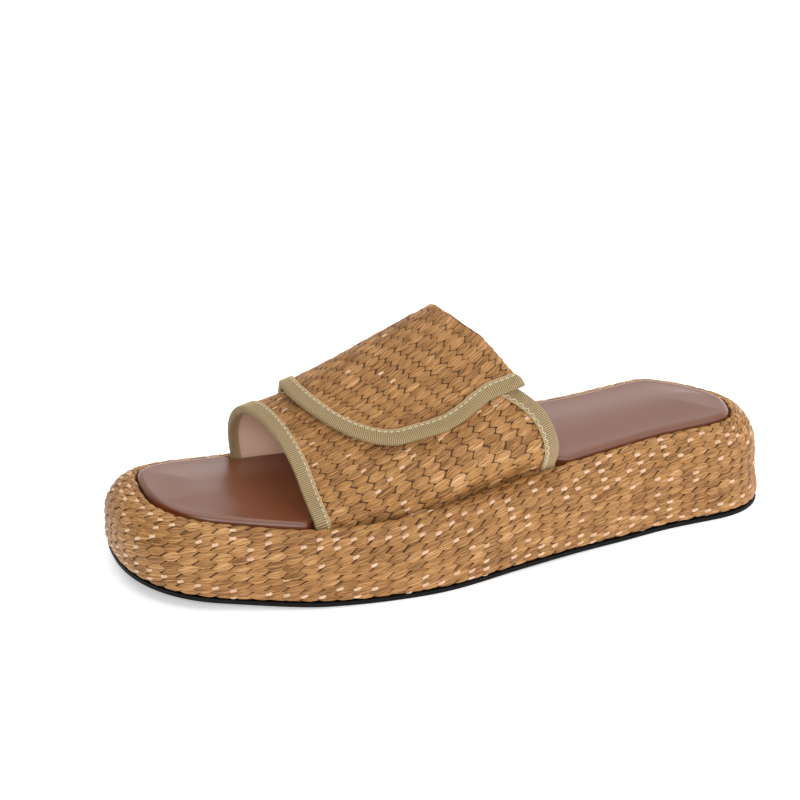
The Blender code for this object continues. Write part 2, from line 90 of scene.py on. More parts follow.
def monotone(xs, ys, at):
    """Smooth curve through the rows of a table, with no overshoot between them."""
    xs, ys = np.asarray(xs, float), np.asarray(ys, float)
    slope = np.diff(ys) / np.diff(xs)
    tangent = np.zeros(len(xs))
    tangent[0], tangent[-1] = slope[0], slope[-1]
    total = slope[1:] + slope[:-1]
    same_way = slope[1:] * slope[:-1] > 0
    tangent[1:-1] = np.where(same_way, 2 * slope[1:] * slope[:-1] / np.where(same_way, total, 1), 0)
    return hermite(xs, ys, tangent, at)


def ease(u):
    """Soft step from 0 to 1."""
    u = np.clip(u, 0, 1)
    return u * u * (3 - 2 * u)


def unit(way):
    """Directions cut to unit length."""
    return way / np.maximum(np.linalg.norm(way, axis=-1, keepdims=True), 1e-12)


def passed_at(line):
    """Length passed at each point of a line, or of every column of a grid."""
    steps = np.linalg.norm(np.diff(line, axis=0), axis=-1)
    return np.concatenate([0 * steps[:1], np.cumsum(steps, 0)])


def along_share(x):
    """Place along the sole: 0 at the toe, 1 at the heel."""
    return np.clip(x / LENGTH + 0.5, 0, 1)


def under_height(x):
    """Height of the outsole's underside."""
    share = along_share(x)
    spring = TOE_SPRING * np.clip(1 - share / SPRING_SHARE, 0, 1) ** 2
    arch = np.sin(np.pi * np.clip((share - ARCH_FROM) / (ARCH_TO - ARCH_FROM), 0, 1)) ** 2
    return spring + ARCH_LIFT * arch


def half_outline(side, steps):
    """One side of the widest outline, from the toe tip to the heel tip."""
    share = (1 - np.cos(np.linspace(0, np.pi, steps + 1))) / 2
    table = np.array(OUTLINE)
    width = monotone(table[:, 0], table[:, 1 if side == "lateral" else 2], share) * BALL_WIDTH
    for end, close in ((share, TOE_CLOSE), (1 - share, HEEL_CLOSE)):
        power = close[side]
        width = width * (1 - np.clip(1 - end / close["share"], 0, 1) ** power) ** (1 / power)
    toe = TOE_TIP_SHIFT * np.clip(1 - share / TIP_SHIFT_SHARE, 0, 1) ** 2
    heel = HEEL_TIP_SHIFT * np.clip(1 - (1 - share) / TIP_SHIFT_SHARE, 0, 1) ** 2
    sign = -1 if side == "lateral" else 1
    return np.stack([(share - 0.5) * LENGTH, toe + heel + sign * width], 1)


def outline(inset, steps=OUTLINE_STEPS):
    """Closed outline moved inward: toe tip, outer side, heel tip, inner side."""
    outer, inner = half_outline("lateral", steps), half_outline("medial", steps)
    loop = np.concatenate([outer, inner[-2:0:-1]])
    ahead = unit(np.roll(loop, -1, 0) - np.roll(loop, 1, 0))
    inward = np.stack([-ahead[:, 1], ahead[:, 0]], 1)
    return loop + inward * np.broadcast_to(inset, len(loop))[:, None]


widest = outline(0)
coarse = outline(0, SHIFT_STEPS)[:, 1]
SIDE_SHIFT = -(coarse.max() + coarse.min()) / 2


def level(loop, height):
    """An outline raised to a height, or to a height for each of its points."""
    return np.column_stack([loop, np.broadcast_to(height, len(loop))])


def grid_faces(rows, columns, base=0, wrap=False):
    """Quads between the points of a grid that are numbered row by row."""
    i, j = np.meshgrid(np.arange(rows - 1), np.arange(columns if wrap else columns - 1), indexing="ij")
    k = (j + 1) % columns
    quads = np.stack([i * columns + j, i * columns + k, (i + 1) * columns + k, (i + 1) * columns + j], -1)
    return quads.reshape(-1, 4) + base


def across(loop, count):
    """Lines across a closed outline, from its outer side to its inner side."""
    steps = len(loop) // 2
    outer = loop[:steps + 1]
    inner = np.concatenate([loop[:1], loop[:steps - 1:-1]])
    share = np.linspace(0, 1, count)[None, :, None]
    return outer[:, None] * (1 - share) + inner[:, None] * share


def piece(name, verts, faces, material, sharp=35, layers=None):
    """One mesh object with its faces outward, riding on the shoe."""
    mesh = bpy.data.meshes.new(name)
    verts = np.asarray(verts, float) + (0, SIDE_SHIFT, 0)
    mesh.from_pydata(verts.tolist(), [], np.asarray(faces).tolist())
    if layers is None:
        bm = bmesh.new()
        bm.from_mesh(mesh)
        bmesh.ops.remove_doubles(bm, verts=bm.verts, dist=1e-6)
        bmesh.ops.recalc_face_normals(bm, faces=bm.faces)
        bm.to_mesh(mesh)
        bm.free()
    else:
        for layer, values in layers.items():
            if layer == "strand":
                corners = np.empty(len(mesh.loops), int)
                mesh.loops.foreach_get("vertex_index", corners)
                mesh.uv_layers.new(name=layer).data.foreach_set("uv", values[corners].ravel())
            else:
                mesh.attributes.new(layer, "FLOAT", "POINT").data.foreach_set("value", values)
    mesh.materials.append(material)
    mesh.shade_smooth()
    if sharp:
        mesh.set_sharp_from_angle(angle=np.radians(sharp))
    made = bpy.data.objects.new(name, mesh)
    scene.collection.objects.link(made)
    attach(made, "root")
    return made


def stacked(name, rings, material, top=None):
    """Closed solid through stacked outlines, with a grid over its underside and one over its top."""
    top = across(rings[-1], CAP_LINES) if top is None else top
    verts = np.concatenate(rings)
    faces = [grid_faces(len(rings), len(rings[0]), wrap=True)]
    for cap in (across(rings[0], CAP_LINES), top):
        faces.append(grid_faces(cap.shape[0], cap.shape[1], len(verts)))
        verts = np.concatenate([verts, cap.reshape(-1, 3)])
    return piece(name, verts, np.concatenate(faces), material)


def shader(name, roughness, **sockets):
    """A new material and its Principled shader, with plain values set on the shader's own sockets."""
    material = bpy.data.materials.new(name)
    material.use_nodes = True
    surface = material.node_tree.nodes["Principled BSDF"]
    surface.inputs["Roughness"].default_value = roughness
    for socket, value in sockets.items():
        surface.inputs[socket.replace("_", " ")].default_value = value
    return material, material.node_tree, surface


def math_node(tree, kind, operation, *given):
    """The result of a math node whose inputs are plain values or other nodes' outputs."""
    node = tree.nodes.new("ShaderNode" + kind)
    node.operation = operation
    for socket, value in zip(node.inputs, given):
        if isinstance(value, bpy.types.NodeSocket):
            tree.links.new(value, socket)
        else:
            socket.default_value = value
    return node.outputs["Value" if operation == "DOT_PRODUCT" else 0]


def grain_group():
    """Fine uneven grain: a mask for colour and a height for bumps, at a given size."""
    group = bpy.data.node_groups.new("Fine grain", "ShaderNodeTree")
    kinds = {"Vector": "Vector", "Scale": "Float", "Stretch": "Vector", "Contrast": "Float"}
    for socket, kind in kinds.items():
        group.interface.new_socket(socket, in_out="INPUT", socket_type="NodeSocket" + kind)
    group.interface.new_socket("Mask", in_out="OUTPUT", socket_type="NodeSocketFloat")
    given, out = group.nodes.new("NodeGroupInput").outputs, group.nodes.new("NodeGroupOutput")
    noise = group.nodes.new("ShaderNodeTexNoise")
    noise.inputs["Detail"].default_value = 3.0
    stretched = math_node(group, "VectorMath", "MULTIPLY", given["Vector"], given["Stretch"])
    group.links.new(stretched, noise.inputs["Vector"])
    group.links.new(given["Scale"], noise.inputs["Scale"])
    middle = math_node(group, "Math", "SUBTRACT", noise.outputs["Fac"], 0.5)
    wide = math_node(group, "Math", "MULTIPLY_ADD", middle, given["Contrast"], 0.5)
    wide.node.use_clamp = True
    group.links.new(wide, out.inputs["Mask"])
    return group


GRAIN = grain_group()


def grain(tree, source, scale, stretch=(1, 1, 1), contrast=1.0):
    """A placed copy of the fine grain, read from an object or strand position."""
    node = tree.nodes.new("ShaderNodeGroup")
    node.node_tree = GRAIN
    node.inputs["Scale"].default_value = scale
    node.inputs["Stretch"].default_value = stretch
    node.inputs["Contrast"].default_value = contrast
    tree.links.new(source, node.inputs["Vector"])
    return node.outputs["Mask"]


def blend_colour(tree, mask, first, second):
    """Two colours mixed by a mask."""
    node = tree.nodes.new("ShaderNodeMix")
    node.data_type = "RGBA"
    tree.links.new(mask, node.inputs["Factor"])
    for socket, colour in ((node.inputs[6], first), (node.inputs[7], second)):
        if isinstance(colour, tuple):
            socket.default_value = (*colour, 1)
        else:
            tree.links.new(colour, socket)
    return node.outputs[2]


def paint(tree, surface, mask, first, second):
    """The shader's base colour, mixed from two by a mask."""
    tree.links.new(blend_colour(tree, mask, first, second), surface.inputs["Base Color"])


def bump(tree, surface, height, distance, strength=1.0):
    """Fine relief on the shader's normal."""
    node = tree.nodes.new("ShaderNodeBump")
    node.inputs["Distance"].default_value = distance
    node.inputs["Strength"].default_value = strength
    tree.links.new(height, node.inputs["Height"])
    tree.links.new(node.outputs["Normal"], surface.inputs["Normal"])


def place_of(tree):
    """The object position that a grain is read from."""
    return tree.nodes.new("ShaderNodeTexCoord").outputs["Object"]


def grained(name, roughness, scale, contrast, tones, relief, **sockets):
    """A material with one fine grain, which carries its two tones and its relief."""
    material, tree, surface = shader(name, roughness, **sockets)
    speck = grain(tree, place_of(tree), scale, contrast=contrast)
    paint(tree, surface, speck, *tones)
    bump(tree, surface, speck, relief)
    return material


rubber = grained("black rubber", 0.65, 1600, 1.4, RUBBER_TONES, 0.00005, Specular_IOR_Level=0.20)

sole_rings = []
for past_step, rise in ((OUTSOLE_EDGE, 0), (0, OUTSOLE_EDGE), (0, OUTSOLE_THICK)):
    loop = outline(OUTSOLE_STEP + past_step)
    sole_rings.append(level(loop, under_height(loop[:, 0]) + rise))
outsole = stacked("outsole_rubber", sole_rings, rubber)
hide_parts("outsole")

# Platform
# A thick foam midsole wrapped in woven raffia, which rolls over the top edge as a wide soft rim
# and dips into the recess of the insole. The strands lie over a backing that shows between them;
# its dark colour is painted shade of the gaps.
TOP_LINE = ((0.0, 0.0359), (0.3, 0.0287), (0.6, 0.0347), (1.0, 0.0384))
RIM_WIDTH = 0.0124
RIM_DROP = 0.0175
RIM_TURN = 67
LIP_RADIUS = 0.0009
FOLD_RADIUS = 0.0018
FOLD_STEP = 0.3 * FOLD_RADIUS
HEEL_LEAN = 0.0022
HEEL_LEAN_FROM, HEEL_LEAN_RUN = 0.80, 0.17
RECESS_DEPTH = 0.0050
CLEARANCE = 0.0003
BACKING_DEPTH = 0.00050
STRAND_HEIGHT = 0.00075
COLUMN_STEP = ((0.0, 0.0067), (0.35, 0.0068), (0.55, 0.0062), (0.75, 0.0058), (1.0, 0.0056))
ROW_STEP = ((0.0, 0.00355), (1.0, 0.0033))
COLUMN_SHIFT = ((0.0, 0.10), (0.25, 0.12), (0.40, 0.25), (0.50, 0.45), (1.0, 0.47))
FIRST_ROW, ROWS = 0.0012, 20
STRAND_LEAN = 0.14
DASH_LENGTH, DASH_WIDTH = 0.0034, 0.00130
DASH_ROWS = {1: 0.50, 2: 0.70, 3: 0.25}
DASH_SHARE = 0.19
DASH_FORM = {"length": 0.52, "flat": 0.50, "tip": 0.40}
DASH_AHEAD = 0.55
DASH_CROWN, DASH_SINK = 0.00042, 0.0002
LAST_ROW_SHARE = 0.85
LAST_ROW_BEFORE = 1.4
PROFILE_STEPS, RIM_START = 26, 0.97
WALL_SHARES, FOLD_SHARE = (0.4, 0.3, 0.2, 0.09), 0.025
STRAND_SINK = 0.0002
WRAP_MIDDLE = 0.018


def top_height(x):
    """Height of the rim's crown above the ground."""
    table = np.array(TOP_LINE)
    return monotone(table[:, 0], table[:, 1], along_share(x))


def platform_ring(inset, rise_share, drop=0.0):
    """A ring of the platform's wall at a share of its height, leaning in round the heel."""
    lean = HEEL_LEAN * ease((along_share(widest[:, 0]) - HEEL_LEAN_FROM) / HEEL_LEAN_RUN)
    loop = outline(inset + lean * np.sin(np.pi * rise_share))
    base = under_height(loop[:, 0]) + OUTSOLE_THICK + CLEARANCE
    return level(loop, base + (top_height(loop[:, 0]) - drop - base) * rise_share)


def platform_rings(sunk):
    """Rings from the recess over the rim and down the wall to the turned-in bottom edge."""
    rings = [platform_ring(RIM_WIDTH + sunk, 1.0, drop) for drop in (RECESS_DEPTH, LIP_RADIUS + sunk)]
    turn = np.radians(RIM_TURN)
    lip = RIM_WIDTH - LIP_RADIUS
    rings.append(platform_ring(lip + 0.7 * LIP_RADIUS, 1.0, 0.3 * LIP_RADIUS + sunk))
    for angle in turn * np.linspace(RIM_START, 0, PROFILE_STEPS):
        inset = sunk + (lip - sunk) * (1 - np.cos(angle)) / (1 - np.cos(turn))
        loop = platform_ring(inset, 1.0)
        drop = (RIM_DROP - sunk) * (1 - np.sin(angle) / np.sin(turn)) + sunk
        rings.append(platform_ring(inset, 1 - drop / (loop[:, 2] - under_height(loop[:, 0]))))
    for share in WALL_SHARES:
        rings.append(platform_ring(sunk, share))
    rings.append(platform_ring(FOLD_STEP + sunk, FOLD_SHARE))
    rings.append(platform_ring(OUTSOLE_STEP + FOLD_RADIUS + sunk, 0.0))
    return np.array(rings)


def read_grid(grid, i, j):
    """Value of a grid between its points, run on straight past its ends."""
    a = np.clip(np.floor(i), 0, grid.shape[0] - 2).astype(int)
    b = np.clip(np.floor(j), 0, grid.shape[1] - 2).astype(int)
    s, t = i - a, j - b
    if grid.ndim == 3:
        s, t = s[..., None], t[..., None]
    near = grid[a, b] * (1 - t) + grid[a, b + 1] * t
    far = grid[a + 1, b] * (1 - t) + grid[a + 1, b + 1] * t
    return near * (1 - s) + far * s


wrap_grid = platform_rings(0.0)
wrap_grid = np.concatenate([wrap_grid[:, -2:], wrap_grid, wrap_grid[:, :3]], 1)
wrap_normal = unit(np.cross(np.gradient(wrap_grid, axis=1), np.gradient(wrap_grid, axis=0)))
if wrap_normal[20, 10, 2] + wrap_normal[20, 200, 2] < 0:
    wrap_normal = -wrap_normal
round_at = passed_at(np.concatenate([widest, widest[:1]]))
down_at = passed_at(wrap_grid)
LIP_AT = down_at[1].mean()
DOWN_STEP, DOWN_REACH = 0.0005, 0.075
down_line, ring_line = np.arange(0, DOWN_REACH, DOWN_STEP), np.arange(len(down_at))
down_table = np.array([np.interp(down_line, passed, ring_line) for passed in down_at.T])


def on_wrap(around, down, lift):
    """A point on the wrap: a length round the widest outline, a length down from the lip, and a lift."""
    j = np.interp(np.mod(around, round_at[-1]), round_at, np.arange(len(round_at))) + 2
    down = np.minimum(down + LIP_AT, np.interp(j, np.arange(down_at.shape[1]), down_at[-1]) - DOWN_STEP)
    i = read_grid(down_table, j, down / DOWN_STEP)
    return read_grid(wrap_grid, i, j) + unit(read_grid(wrap_normal, i, j)) * lift[..., None]


STRAND_U, STRAND_V = 9, 5
TONE_SPREAD = 0.6
REACH_SPREAD, SWELL_SPREAD = (0.93, 1.05), (0.78, 1.12)
SKEW_SPREAD, WANDER, TWIST, TWIST_SPREAD = 0.05, 0.03, 0.18, 0.22
HALF_WIDTH = 0.53
END_POWER, SIDE_FALL = 2.8, 0.42


def strands(centre, run, rise, place, crown, sink, calm=None, pale=0.0, length=0.74, flat=0.33, tip=0.05):
    """Woven strands as low crowned leaves, all in one mesh.

    centre is each strand's middle on the flat cloth, run the step to the next column along it and
    rise the step to the next row. place takes flat places and lifts to the shoe.
    """
    count = len(centre)
    s, t = np.meshgrid(np.linspace(-1, 1, STRAND_U), np.linspace(-1, 1, STRAND_V), indexing="ij")
    s, t = s[None], t[None]
    width = 1 - (1 - tip) * np.clip((np.abs(s) - flat) / (1 - flat), 0, 1)
    each = (count, 1, 1)
    reach = length * chance.uniform(*REACH_SPREAD, each)
    skew = chance.normal(0, SKEW_SPREAD, each)
    swell = chance.uniform(*SWELL_SPREAD, each)
    twist = chance.normal(TWIST, TWIST_SPREAD, each)
    a = s * reach
    b = t * width * HALF_WIDTH + skew * s + chance.normal(0, WANDER, each)
    x, y = (centre[:, k, None, None] + a * run[:, k, None, None] + b * rise[:, k, None, None]
            for k in (0, 1))
    body = (1 - np.abs(s) ** END_POWER) * (1 - SIDE_FALL * t ** 2)
    lift = -sink + (crown * swell + sink) * body + crown * twist * s * t * (1 - np.abs(s))
    if calm is not None:
        lift = lift * calm(x, y)
    verts = place(x, y, lift).reshape(-1, 3)
    one = grid_faces(STRAND_U, STRAND_V)
    faces = (one[None] + np.arange(count)[:, None, None] * STRAND_U * STRAND_V).reshape(-1, 4)
    uv = np.stack([np.broadcast_to(along * 0.5 + 0.5, lift.shape) for along in (s, t)], -1)
    tone = np.broadcast_to((TONE_SPREAD * chance.random(count) + pale)[:, None, None], lift.shape)
    return verts, faces, {"strand": uv.reshape(-1, 2), "tone": tone.reshape(-1)}


def woven(name, verts, faces, layers, outward, material):
    """A piece of strands, turned so that they look along their outward directions."""
    a, b, c = (verts[faces[:, k]] for k in range(3))
    if (np.cross(b - a, c - a) * outward).sum() < 0:
        faces = faces[:, ::-1]
    return piece(name, verts, faces, material, sharp=0, layers=layers)


TONE_APART = 61.0
TONE_WEIGHT, STREAK_WEIGHT = 0.38, 0.58
TONE_STOPS = (0.35, 0.70)
STREAK_STRETCH, STREAK_CONTRAST = (1.4, 13.0, 1.0), 3.8


def strand_material(name, tones, roughness):
    """Flat plant-fibre ribbon: long streaks down each strand and a tone of its own for each."""
    material, tree, surface = shader(name, roughness, Specular_IOR_Level=0.35)
    nodes, links = tree.nodes, tree.links
    strand = nodes.new("ShaderNodeUVMap")
    strand.uv_map = "strand"
    tone = nodes.new("ShaderNodeAttribute")
    tone.attribute_name = "tone"
    apart = math_node(tree, "Math", "MULTIPLY", tone.outputs["Fac"], TONE_APART)
    spread = nodes.new("ShaderNodeCombineXYZ")
    links.new(apart, spread.inputs["Y"])
    links.new(apart, spread.inputs["Z"])
    shift = math_node(tree, "VectorMath", "ADD", strand.outputs["UV"], spread.outputs[0])
    streaks = grain(tree, shift, 1.0, STREAK_STRETCH, STREAK_CONTRAST)
    ramp = nodes.new("ShaderNodeValToRGB")
    for stop in TONE_STOPS:
        ramp.color_ramp.elements.new(stop)
    for stop, colour in zip(ramp.color_ramp.elements, tones):
        stop.color = (*colour, 1)
    own = math_node(tree, "Math", "MULTIPLY", tone.outputs["Fac"], TONE_WEIGHT)
    mixed = math_node(tree, "Math", "MULTIPLY_ADD", streaks, STREAK_WEIGHT, own)
    links.new(mixed, ramp.inputs["Fac"])
    links.new(ramp.outputs["Color"], surface.inputs["Base Color"])
    bump(tree, surface, streaks, 0.00010, 0.8)
    return material


RAFFIA_TONES = ((0.100, 0.037, 0.0075), (0.375, 0.167, 0.044), (0.620, 0.322, 0.112), (0.930, 0.630, 0.370))
DASH_TONES = ((0.700, 0.400, 0.220), (0.860, 0.560, 0.350), (0.980, 0.700, 0.490), (1.000, 0.810, 0.640))
raffia = strand_material("brown raffia", RAFFIA_TONES, 0.46)
pale_raffia = strand_material("peach raffia", DASH_TONES, 0.42)
# The backing's dark tones are painted shade: they stand for the shade in the gaps between strands.
GAP_SHADE_TONES = ((0.045, 0.018, 0.006), (0.120, 0.055, 0.020))
backing = grained("backing, painted gap shade", 0.9, 700, 1.5, GAP_SHADE_TONES, 0.0002)

core = stacked("platform_backing", platform_rings(BACKING_DEPTH), backing)
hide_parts("platform")


FINE_STEPS = 4000


def wrap_sites():
    """Middles of the strands on the wrap, with their steps along and across, and their row numbers."""
    fine = np.linspace(0, round_at[-1], FINE_STEPS)
    x = np.interp(fine, round_at, np.concatenate([widest[:, 0], widest[:1, 0]]))
    share = along_share(x)
    tables = (COLUMN_STEP, ROW_STEP, COLUMN_SHIFT)
    column, row, shift = (np.interp(share, *np.array(table).T) for table in tables)
    passed = np.concatenate([[0], np.cumsum(np.diff(fine) / column[:-1])])
    columns = round(passed[-1])
    at = np.interp(np.arange(columns) * passed[-1] / columns, passed, fine)
    step, pitch, moved = (np.interp(at, fine, values) for values in (column, row, shift))
    start = np.mod(np.cumsum(moved), 1)
    end = np.interp(at, round_at, np.concatenate([down_at[-1, 2:-3], down_at[-1, 2:3]])) - LIP_AT
    tilt = (moved - 0.5 - STRAND_LEAN) * pitch
    centre, run, rise, rows, last = [], [], [], [], []
    for k in range(-1, ROWS):
        down = FIRST_ROW + (k + start) * pitch
        keep = (down > -0.001) & (down < end)
        centre.append(np.stack([at, down], 1)[keep])
        run.append(np.stack([step, tilt], 1)[keep])
        rise.append(np.stack([0 * pitch, pitch], 1)[keep])
        rows.append(np.full(keep.sum(), k))
        last.append((np.abs(down - end + LAST_ROW_BEFORE * pitch) < 0.5 * pitch)[keep])
    return [np.concatenate(v) for v in (centre, run, rise, rows, last)]


def wrap_strands(name, sites, run, rise, crown, sink, material, **form):
    """Strands laid on the wrap, turned to look away from the line through the platform's middle."""
    verts, faces, layers = strands(sites, run, rise, on_wrap, crown, sink, **form)
    out_from = verts[faces[:, 0]] - (0, 0, WRAP_MIDDLE)
    out_from[:, 0] = 0
    return woven(name, verts, faces, layers, out_from, material)


def dash_steps(run, rise):
    """Steps of the peach ends, along and across the strands that they lie between."""
    return unit(run) * DASH_LENGTH, unit(rise) * DASH_WIDTH


sites, run, rise, row_number, last_row = wrap_sites()
wrap = wrap_strands("platform_strands", sites, run, rise, STRAND_HEIGHT - BACKING_DEPTH,
                    BACKING_DEPTH + STRAND_SINK, raffia)
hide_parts("platform")

chosen = chance.random(len(sites))
share = np.array([DASH_ROWS.get(int(k), DASH_SHARE) for k in row_number])
dash = chosen < np.where(last_row, LAST_ROW_SHARE, share)
along, over = dash_steps(run[dash], rise[dash])
wrap_strands("platform_dashes", sites[dash] + DASH_AHEAD * run[dash], along, over, DASH_CROWN, DASH_SINK,
             pale_raffia, **DASH_FORM)

# Insole
# A padded footbed covered in smooth brown leather, with a rounded edge that stands a little proud
# of the rim. Its sides are cut in where the strap and its ribbon go down beside it.
INSOLE_PROUD = 0.0016
INSOLE_ROUND = 0.0026
INSOLE_DOME = 0.0012
INSOLE_GROOVE = 0.0008
INSOLE_BEVEL = 0.0012
INSOLE_ANGLES = (12, 25, 38, 50, 62, 74, 84, 90)
INSOLE_LINES, DOME_REACH = 33, 0.019
CUT_MARGIN = 0.0012
CUT_SOFT = 0.0035
LEATHER_TONES = ((0.145, 0.036, 0.0085), (0.172, 0.044, 0.0110))
LEATHER_PATCH = (0.178, 0.049, 0.0125)
WALL = 0.0018
WEAVE_RELIEF = 0.0005
EDGE_WALL = WALL - WEAVE_RELIEF
RIBBON_THICK = 0.0005
RIBBON_ROOM = 0.00046
FOLD_GAP = 0.0004
STRAP_GROOVE = RIBBON_ROOM + RIBBON_THICK + 2 * CLEARANCE
FLAP_LIFT = EDGE_WALL + 2 * (RIBBON_THICK + RIBBON_ROOM) + CLEARANCE
STRAP_COLUMNS = ("cut", "outer_foot", "outer_side", "crown", "inner_side", "inner_foot",
                 "height", "across", "outer_bulge", "inner_bulge", "outer_full", "inner_full")
STRAP = (
    (0.0, 0.2732, 0.2525, 0.2309, 0.2113, 0.2117, 0.508, 0.022, -0.034, 0.025, 1.79, 2.85),
    (0.5, 0.4570, 0.4468, 0.3408, 0.3706, 0.3872, 0.722, 0.022, 0.046, 0.045, 1.69, 2.71),
    (1.0, 0.6412, 0.6101, 0.4721, 0.4985, 0.5668, 0.907, 0.094, 0.110, 0.067, 2.27, 2.65),
    (1.2, 0.6907, 0.6664, 0.5242, 0.5468, 0.6208, 0.972, 0.116, 0.106, 0.077, 2.13, 2.37),
)
STRAP_END = STRAP[-1][0]
INSTEP_RISE = 0.0569
FOOT_DEPTH = 0.0040


def strap_row(cut):
    """The strap's table read at one cut, in metres."""
    table = np.array(STRAP)
    stations = table[:, 0]
    row = {name: hermite(stations, column, np.gradient(column, stations), cut)
           for name, column in zip(STRAP_COLUMNS[1:], table.T[1:])}
    for name in ("outer_foot", "outer_side", "crown", "inner_side", "inner_foot"):
        row[name] = (row[name] - 0.5) * LENGTH
    row["height"] = top_height(row["crown"]) + row["height"] * INSTEP_RISE
    for name in ("across", "outer_bulge", "inner_bulge"):
        row[name] = row[name] * BALL_WIDTH
    return row


def insole_inset():
    """Inset of the insole's edge, cut in beside the strap's two feet."""
    loop = outline(RIM_WIDTH)
    share = along_share(loop[:, 0])
    outer = np.arange(len(loop)) <= OUTLINE_STEPS
    front, back = strap_row(0), strap_row(1)
    depth = STRAP_GROOVE * 2 + EDGE_WALL - INSOLE_GROOVE
    margin = (RIBBON_THICK + 2 * CLEARANCE + CUT_MARGIN) / LENGTH
    soft = CUT_SOFT / LENGTH
    first = np.where(outer, along_share(front["outer_foot"]), along_share(front["inner_foot"])) - margin
    last = np.where(outer, along_share(back["outer_foot"]), along_share(back["inner_foot"])) + margin
    cut_in = ease((share - first + soft) / soft) * ease((last + soft - share) / soft)
    return RIM_WIDTH + INSOLE_GROOVE + depth * cut_in


leather, tree, surface = shader("brown leather", 0.40, Specular_IOR_Level=0.50, Coat_Weight=0.70,
                                Coat_Roughness=0.28)
pores = grain(tree, place_of(tree), 2200, contrast=1.2)
patches = grain(tree, place_of(tree), 28, contrast=1.3)
paint(tree, surface, patches, blend_colour(tree, pores, *LEATHER_TONES), LEATHER_PATCH)
bump(tree, surface, pores, 0.00003)

edge = insole_inset()
floor_rise = CLEARANCE - RECESS_DEPTH
body = INSOLE_PROUD - INSOLE_ROUND
profile = [(INSOLE_BEVEL, floor_rise), (0, floor_rise + INSOLE_BEVEL), (0, body)]
for angle in np.radians(INSOLE_ANGLES):
    profile.append((INSOLE_ROUND * (1 - np.cos(angle)), body + INSOLE_ROUND * np.sin(angle)))
pad_rings = []
for inset, rise_by in profile:
    loop = outline(edge + inset)
    pad_rings.append(level(loop, top_height(loop[:, 0]) + rise_by))
pad_top = across(pad_rings[-1], INSOLE_LINES)
from_sides = [np.linalg.norm(pad_top - rim, axis=2) for rim in (pad_top[:, :1], pad_top[:, -1:])]
pad_x = pad_top[..., 0]
from_edge = np.minimum(np.minimum(*from_sides), np.minimum(pad_x - pad_x.min(), pad_x.max() - pad_x))
pad_top[..., 2] = top_height(pad_x) + INSOLE_PROUD + INSOLE_DOME * ease(from_edge / DOME_REACH)
insole = stacked("insole_leather", pad_rings, leather, pad_top)
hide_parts("insole")

# Strap
# A wide band of the same woven raffia over the instep, lined with thin pinkish leather. Its two
# feet go down into the groove between the rim and the insole and are glued under the insole.
CUT_SAMPLES, TURN_SAMPLES = 73, 181
CLOTH_RUN = (0.0059, 0.0022)
CLOTH_RISE = (-0.00145, 0.0034)
ROWS_CLOSE = ((0.0, 1.0), (0.14, 1.0), (0.27, 0.66), (0.73, 0.66), (0.86, 1.0), (1.0, 1.0))
BAND_CROWN = 0.0005
LINING_THICK = 0.0003
BACKING_TOP = 0.00105
BAND_DASH_SHARE = 0.14
PALE_SHARE, PALE_TONE = 0.20, 0.55
CLOTH_SINK, BAND_DASH_CROWN = 0.0004, 0.00055
CALM_LEAST, CALM_BEFORE, CALM_SOFT = 0.25, 0.0006, 0.0016
CUT_HOLD = 0.002
EDGE_STEPS, ROUND_STEPS = 120, 60
SIDE_POWER = 0.7
RIBBON_OUTER = 0.0050
RIBBON_INNER = 0.0026
LINING_TONES = ((0.93, 0.64, 0.49), (0.98, 0.71, 0.55))


def edge_across(x, side, inset):
    """How far across the inset outline lies at a place along the sole."""
    loop = outline(inset, EDGE_STEPS)
    half = loop[2:EDGE_STEPS - 2] if side == "lateral" else loop[EDGE_STEPS + 2:][::-1]
    order = np.argsort(half[:, 0])
    return np.interp(x, half[order, 0], half[order, 1])


def strap_section(cut, count):
    """Inner face of the strap at one cut, evenly spaced from the outer foot over to the inner one."""
    row = strap_row(cut)
    inset = RIM_WIDTH + STRAP_GROOVE + EDGE_WALL
    turn = np.linspace(0, np.pi / 2, ROUND_STEPS)
    halves = []
    for side, foot, sign in (("lateral", "outer", -1), ("medial", "inner", 1)):
        foot_x, full, bulge = row[foot + "_foot"], row[foot + "_full"], row[foot + "_bulge"]
        foot_y, foot_z = edge_across(foot_x, side, inset), top_height(foot_x)
        up = np.sin(turn) ** (2 / full)
        reach = np.cos(turn) ** (2 / full)
        y = row["across"] + (foot_y - row["across"]) * reach
        y = y + sign * bulge * np.sin(np.pi * up ** SIDE_POWER) ** 2
        z = foot_z + (row["height"] - foot_z) * up
        halves.append(np.concatenate([[[foot_y, foot_z - FOOT_DEPTH]], np.stack([y, z], 1)]))
    curve = np.concatenate([halves[0], halves[1][-2::-1]])
    length = passed_at(curve)
    share = np.linspace(0, 1, count)
    y, z = (np.interp(share * length[-1], length, curve[:, k]) for k in (0, 1))
    stations = np.array([row[k] for k in ("outer_foot", "outer_side", "crown", "inner_side", "inner_foot")])
    quarter = np.linspace(0, 1, 5)
    return np.stack([hermite(quarter, stations, np.gradient(stations, quarter), share), y, z], 1)


form = np.array([strap_section(cut, TURN_SAMPLES) for cut in np.linspace(0, STRAP_END, CUT_SAMPLES)])
form_normal = unit(np.cross(np.gradient(form, axis=1), np.gradient(form, axis=0)))
if form_normal[CUT_SAMPLES // 2, TURN_SAMPLES // 2, 2] < 0:
    form_normal = -form_normal


def on_form(cut, turn, lift):
    """Points lifted off the strap's inner face, at a cut and a share across from the outer foot."""
    cut, turn = np.broadcast_arrays(np.asarray(cut, float), np.asarray(turn, float))
    i, j = cut / STRAP_END * (CUT_SAMPLES - 1), turn * (TURN_SAMPLES - 1)
    return read_grid(form, i, j) + unit(read_grid(form_normal, i, j)) * np.asarray(lift)[..., None]


